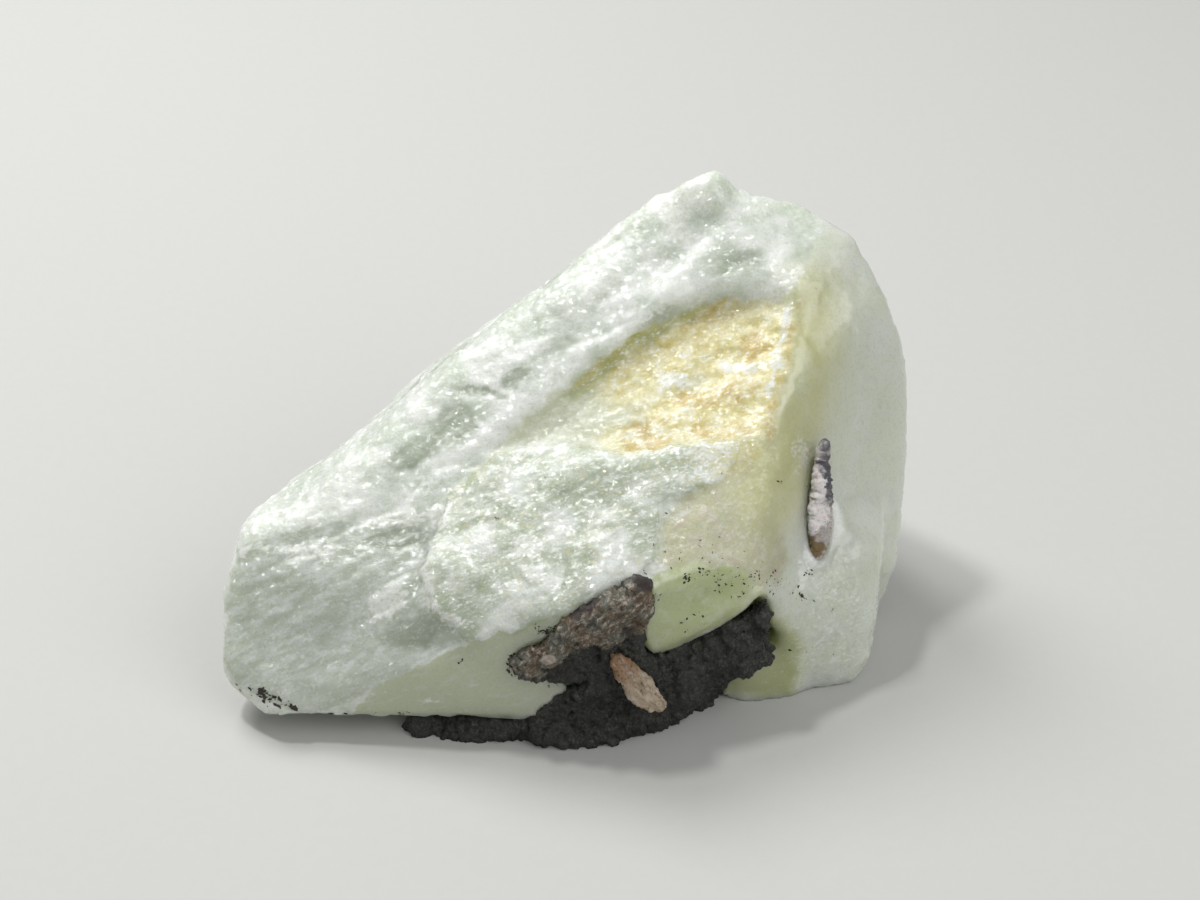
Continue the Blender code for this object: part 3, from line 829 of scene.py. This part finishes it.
def host_rock_material(look, masks):
    """Fine-grained dark host rock, broken and weathered: matt, gritty, with rust and pale crystals."""
    material, tree, shader, _, patterns, mask = new_material("host rock, weathered", ROCK_PATTERNS, masks)
    grit, lumps, blotch, fibres = patterns
    dusty = share(tree, grit, 0.48, 0.68, within=share(tree, blotch, 0.42, 0.66, 0.3))
    crust = layered(
        tree, look.ash,
        (share(tree, blotch, 0.38, 0.62), look.rust),
        (share(tree, fibres, 0.48, 0.66), look.pale),
        (share(tree, fibres, 0.44, 0.32, 0, 0.9), look.rim),
        (share(tree, grit, 0.42, 0.34), look.dark),
    )
    edge = strongest(tree, mask["rim"], mask["dark"])
    colour = layered(
        tree, look.dark,
        (dusty, look.ash),
        (share(tree, lumps, 0.54, 0.74, 0, 0.5), look.rust),
        (share(tree, mask["crust"], 0.35, 0.75, edge=(grit, 0.8)), crust),
        (share(tree, mask["pale"], 0.35, 0.75, edge=(grit, 0.9)), look.pale),
        (share(tree, edge, 0.3, 0.7, edge=(grit, 0.7)), look.rim),
    )
    connect(tree, shader, {
        "Base Color": colour,
        "Roughness": share(tree, grit, 0.3, 0.7, 0.85, 0.35),
        "Normal": add(tree, "Bump", {"Height": grit, "Strength": 0.9, "Distance": 0.1 * MM}),
        "IOR": HOST_ROCK_IOR,
    })
    return material


def splinter_material(look, masks):
    """A fibrous tan splinter: satin along its fibres, with brown grooves between them."""
    way = splinter_way()
    rows = ((0.2, 5, 0.75, way, 5), (0.4, 5, 0.7, way, 4), (0.14, 2, 0.6))
    material, tree, shader, _, patterns, mask = new_material("splinter, fibrous", rows, masks)
    fibre, blotch, dots = patterns
    colour = layered(
        tree, look.splinter_top,
        (share(tree, mask["along"], 0.15, 0.6), look.splinter),
        (share(tree, fibre, 0.52, 0.32), look.splinter_dark),
        (share(tree, blotch, 0.5, 0.75, 0, 0.5), look.pit_white),
        (share(tree, dots, 0.4, 0.3), look.speck, 0.8),
    )
    connect(tree, shader, {
        "Base Color": colour,
        "Roughness": 0.6,
        "Normal": add(tree, "Bump", {"Height": blotch, "Strength": 0.6, "Distance": 0.07 * MM}),
        "Subsurface Weight": 0.2,
        "Subsurface Scale": 0.3 * MM,
    })
    return material


def pit_crust_material(look, masks):
    """A granular crust of late minerals: chalky white and grey, with dark and brown grains."""
    material, tree, shader, _, patterns, mask = new_material("pit crust, granular", PIT_PATTERNS, masks)
    grain, lumps = patterns
    colour = layered(
        tree, look.pit_grey,
        (share(tree, lumps, 0.4, 0.62), look.pit_beige),
        (share(tree, mask["brown"], 0.2, 0.8, edge=(lumps, 1.2)), look.pit_brown),
        (share(tree, mask["dark"], 0.2, 0.8, edge=(lumps, 1.2)), look.pit_dark),
        (share(tree, mask["white"], 0.2, 0.8, edge=(lumps, 1.2)), look.pit_white),
        (share(tree, grain, 0.5, 0.36, 0, 0.35), look.pit_dark),
    )
    connect(tree, shader, {
        "Base Color": colour,
        "Roughness": 0.6,
        "Normal": add(tree, "Bump", {"Height": grain, "Strength": 0.7, "Distance": 0.08 * MM}),
        "Subsurface Weight": 0.25,
        "Subsurface Scale": 0.4 * MM,
    })
    return material


def speck_material(look):
    """Black ore and rock grains: dark, with a slight metallic lustre on their faces."""
    material, tree, shader, _, (tint, tooth), _ = new_material("black grains", SPECK_PATTERNS)
    connect(tree, shader, {
        "Base Color": layered(tree, look.speck, (tint, look.speck_brown)),
        "Roughness": 0.42,
        "Normal": add(tree, "Bump", {"Height": tooth, "Strength": 0.6, "Distance": 0.04 * MM}),
    })
    return material


def floor_material(look):
    """Matt painted board: even and pale, with a trace of tooth."""
    material, tree, shader, _, (tooth,), _ = new_material("matt painted board", (FLOOR_TOOTH,))
    darker = [0.96 * part for part in look.floor_colour[:3]] + [1.0]
    colour = layered(tree, look.floor_colour, (tooth, darker))
    connect(tree, shader, {"Base Color": colour, "Roughness": 0.75})
    return material


def splinter_way():
    """The way that the splinter lies, from corner to corner of its solid's box."""
    low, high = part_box(SPLINTER)
    return Vector((high.x - low.x, low.y - high.y, low.z - high.z)).normalized()


# The pieces


class DATOLITE_OT_crystal(bpy.types.Operator):
    """Make the broken surface of the datolite crystal over its solid"""

    bl_idname = "datolite.crystal"
    bl_label = "Datolite crystal"

    def execute(self, context):
        look = context.scene.datolite_crystal
        crystal = fine_copy(CRYSTAL, "broken_datolite", look.face_size, 3)
        points, normals = points_and_normals(crystal)
        masks = crystal_masks(points, normals)
        height = crystal_relief(points, masks, look.chip_height / MM)
        gap = np.max([near_solid(points, node, CONTACT_REACH) for node in (ROCK, PIT_CRUST)], axis=0)
        height = height * (1 - gap) + CONTACT_HEIGHT * gap
        put_points(crystal, points + normals * height[:, None])
        keep_masks(crystal, masks)
        soften(crystal, 2)
        dress(crystal, CRYSTAL, datolite_material(look, masks))
        return {"FINISHED"}


class DATOLITE_OT_host_rock(bpy.types.Operator):
    """Make the grainy host rock over its solid, grown into the gap around it"""

    bl_idname = "datolite.host_rock"
    bl_label = "Host rock"

    def execute(self, context):
        look = context.scene.datolite_rock
        rock = fine_copy(ROCK, "weathered_host_rock", look.face_size, 2)
        points, normals = points_and_normals(rock)
        pixels = photo_pixels(points)
        front = facing_photo(points, normals)
        height = look.growth / MM + 0.34 * waves(points, 1.5, 5) + 0.26 * chips(points, 1.3)
        height += 0.14 * chips(points + 13, 0.5) - 0.22 * np.abs(waves(points + 5, 0.55, 3))
        height -= 0.7 * in_patches(pixels, THIN_ROCK_PATCHES)
        masks = {
            "crust": in_area(ragged(pixels, points, 0.8, 5), CRUST_AREA, 5) * front,
            "rim": near_line(ragged(pixels, points, 0.5, 5), CRUST_AREA[-1:] + CRUST_AREA[:9], 6) * front,
            "pale": in_patches(pixels, PALE_ROCK_PATCHES) * front,
            "dark": in_patches(ragged(pixels, points, 0.5, 4), DARK_ROCK_PATCHES) * front,
        }
        put_points(rock, points + normals * height[:, None])
        keep_masks(rock, masks)
        dress(rock, ROCK, host_rock_material(look, masks))
        return {"FINISHED"}


class DATOLITE_OT_small_pieces(bpy.types.Operator):
    """Make the splinter and the crust in the pit"""

    bl_idname = "datolite.small_pieces"
    bl_label = "Splinter and pit crust"

    def execute(self, context):
        look = context.scene.datolite_small
        splinter = fine_copy(SPLINTER, "fibrous_splinter", look.splinter_face, 2)
        points, normals = points_and_normals(splinter)
        fibres = stretched(points, np.array(splinter_way()), 8)
        height = 0.1 + 0.06 * waves(fibres, 0.4, 3) + 0.14 * waves(points, 0.7, 4)
        along = points @ np.array(splinter_way())
        masks = {"along": (along - along.min()) / np.ptp(along)}
        put_points(splinter, points + normals * height[:, None])
        keep_masks(splinter, masks)
        dress(splinter, SPLINTER, splinter_material(look, masks))

        crust = fine_copy(PIT_CRUST, "granular_pit_crust", look.pit_face, 2)
        points, normals = points_and_normals(crust)
        pixels = ragged(photo_pixels(points), points, 0.35, 5)
        masks = {
            "white": in_patches(pixels, PIT_WHITE_PATCHES),
            "dark": in_patches(pixels, PIT_DARK_PATCHES),
            "brown": in_patches(pixels, PIT_BROWN_PATCHES),
        }
        thin_way = np.linalg.svd(points - points.mean(0), full_matrices=False)[2][2]
        height = 0.42 - 0.3 * np.abs(normals @ thin_way) + 0.08 * masks["white"]
        height += 0.12 * chips(points, 0.4) + 0.1 * waves(points + 3, 0.25, 3)
        put_points(crust, points + normals * height[:, None])
        keep_masks(crust, masks)
        dress(crust, PIT_CRUST, pit_crust_material(look, masks))
        return {"FINISHED"}


def speck_spots(seed):
    """Every small chip that the specks are made of: its pixel, its way and its half length in mm."""
    dice = random.Random(seed)
    spots = []
    for across, down, length, slim in SPECKS:
        turn = dice.uniform(-0.9, 0.9)
        for _ in range(3 + int(length / 0.1)):
            along = dice.uniform(-0.5, 0.5) * length * PIXELS_PER_MM
            beside = dice.uniform(-0.5, 0.5) * length / slim * PIXELS_PER_MM
            x = across + along * math.cos(turn) - beside * math.sin(turn)
            y = down - along * math.sin(turn) - beside * math.cos(turn)
            spots.append((x, y, turn, dice.uniform(0.15, 0.4) * length))
    for across, down, half_length, half_width, turn, count in STREWN:
        angle = math.radians(turn)
        for _ in range(count):
            along, beside = dice.gauss(0, 0.6) * half_length, dice.gauss(0, 0.6) * half_width
            x = across + along * math.cos(angle) - beside * math.sin(angle)
            y = down - along * math.sin(angle) - beside * math.cos(angle)
            spots.append((x, y, dice.uniform(0, math.pi), 0.04 + 0.12 * dice.random() ** 3))
    for corners, count, stray, longest in SPECK_ROWS:
        for _ in range(count):
            part = dice.random() * (len(corners) - 1)
            start, end = corners[int(part)], corners[int(part) + 1]
            part -= int(part)
            x = start[0] + part * (end[0] - start[0]) + dice.gauss(0, stray)
            y = start[1] + part * (end[1] - start[1]) + dice.gauss(0, stray)
            turn = math.atan2(start[1] - end[1], end[0] - start[0]) + dice.gauss(0, 0.3)
            spots.append((x, y, turn, (0.2 + 0.8 * dice.random() ** 2) * longest))
    return spots


class DATOLITE_OT_specks(bpy.types.Operator):
    """Set black grains in the crystal's surface, where the photograph shows them"""

    bl_idname = "datolite.specks"
    bl_label = "Black grains"

    def execute(self, context):
        look = context.scene.datolite_small
        crystal = bpy.data.objects["broken_datolite"]
        tree = BVHTree.FromObject(crystal, context.evaluated_depsgraph_get())
        dice = random.Random(look.seed + 1)
        bm = bmesh.new()
        for x, y, turn, reach in speck_spots(look.seed):
            across, down = (x - PHOTO_WIDTH / 2) / PHOTO_FOCAL, (y - PHOTO_HEIGHT / 2) / PHOTO_FOCAL
            place, normal = tree.ray_cast(EYE, (FORWARD + SIDE * across - UPWARD * down).normalized())[:2]
            if place is not None:
                way = SIDE * math.cos(turn) + UPWARD * math.sin(turn)
                self.grain(bm, place, normal, way, reach * MM, dice)
        mesh = bpy.data.meshes.new("black_grains")
        bm.to_mesh(mesh)
        bm.free()
        specks = bpy.data.objects.new("black_grains", mesh)
        context.scene.collection.objects.link(specks)
        points, _ = points_and_normals(specks)
        put_points(specks, points)
        dress(specks, None, speck_material(look))
        specks.data.shade_flat()
        return {"FINISHED"}

    @staticmethod
    def grain(bm, place, normal, way, reach, dice):
        """One ragged flat chip, half sunk in the surface: a low crooked cone with its tip cut off."""
        way = (way - normal * way.dot(normal)).normalized()
        turn = Matrix((way, normal.cross(way), normal)).transposed().to_4x4()
        shape = Matrix.Diagonal((reach, reach * dice.uniform(0.3, 0.7), min(0.5 * reach, 0.05 * MM), 1))
        made = bmesh.ops.create_cone(bm, cap_ends=True, segments=7, radius1=1.0, radius2=0.5, depth=1.0)
        for vertex in made["verts"]:
            vertex.co *= dice.uniform(0.5, 1.3)
        bmesh.ops.transform(bm, matrix=Matrix.Translation(place) @ turn @ shape, verts=made["verts"])


class DATOLITE_OT_stage(bpy.types.Operator):
    """Set the plain pale floor, the soft lights and the photograph's camera"""

    bl_idname = "datolite.stage"
    bl_label = "Stage"

    def execute(self, context):
        look = context.scene.datolite_stage
        bpy.ops.mesh.primitive_plane_add(size=FLOOR_WIDTH)
        floor = context.object
        floor.name = "floor"
        floor.data.materials.append(floor_material(look))
        for name, place, width in LIGHTS:
            self.light(name, place, getattr(look, name + "_power"), width)
        world = bpy.data.worlds.new("even light")
        world.use_nodes = True
        sky = world.node_tree.nodes["Background"]
        connect(world.node_tree, sky, {"Color": look.sky_colour, "Strength": look.sky_strength})
        context.scene.world = world
        context.scene.view_settings.view_transform = "Standard"
        self.camera(context)
        return {"FINISHED"}

    @staticmethod
    def light(name, place, power, width):
        lamp = bpy.data.lights.new(name, "AREA")
        lamp.energy = power
        lamp.shape = "DISK"
        lamp.size = width
        obj = bpy.data.objects.new(name, lamp)
        obj.location = place
        obj.rotation_euler = (AIM - Vector(place)).to_track_quat("-Z", "Y").to_euler()
        bpy.context.scene.collection.objects.link(obj)

    @staticmethod
    def camera(context):
        lens = bpy.data.cameras.new("camera")
        lens.sensor_width = SENSOR_WIDTH
        lens.lens = SENSOR_WIDTH * PHOTO_FOCAL / PHOTO_WIDTH
        lens.clip_start = 1 * MM
        camera = bpy.data.objects.new("camera", lens)
        camera.location = EYE
        camera.rotation_euler = FORWARD.to_track_quat("-Z", "Y").to_euler()
        context.scene.collection.objects.link(camera)
        context.scene.camera = camera


class DATOLITE_PT_panel(bpy.types.Panel):
    """Lists the pieces of the datolite and their settings"""

    bl_label = "Raw datolite"
    bl_idname = "DATOLITE_PT_panel"
    bl_space_type = "VIEW_3D"
    bl_region_type = "UI"
    bl_category = "Datolite"

    def draw(self, context):
        for group, operators in PANEL_ROWS:
            box = self.layout.box()
            settings = getattr(context.scene, group)
            for name in settings.bl_rna.properties.keys():
                if name not in ("rna_type", "name"):
                    box.prop(settings, name)
            for operator in operators:
                box.operator(operator.bl_idname)


PANEL_ROWS = (
    ("datolite_crystal", (DATOLITE_OT_crystal,)),
    ("datolite_rock", (DATOLITE_OT_host_rock,)),
    ("datolite_small", (DATOLITE_OT_small_pieces, DATOLITE_OT_specks)),
    ("datolite_stage", (DATOLITE_OT_stage,)),
)
SETTINGS = {
    "datolite_crystal": DatoliteCrystalSettings,
    "datolite_rock": HostRockSettings,
    "datolite_small": SmallPieceSettings,
    "datolite_stage": StageSettings,
}
CLASSES = (
    *SETTINGS.values(),
    DATOLITE_OT_crystal,
    DATOLITE_OT_host_rock,
    DATOLITE_OT_small_pieces,
    DATOLITE_OT_specks,
    DATOLITE_OT_stage,
    DATOLITE_PT_panel,
)


def register():
    for item in CLASSES:
        bpy.utils.register_class(item)
    for name, settings in SETTINGS.items():
        setattr(bpy.types.Scene, name, PointerProperty(type=settings))


def unregister():
    for name in SETTINGS:
        delattr(bpy.types.Scene, name)
    for item in reversed(CLASSES):
        bpy.utils.unregister_class(item)


def main():
    register()
    bpy.ops.datolite.stage()
    bpy.ops.datolite.crystal()
    bpy.ops.datolite.host_rock()
    bpy.ops.datolite.small_pieces()
    bpy.ops.datolite.specks()


if __name__ == "__main__":
    main()
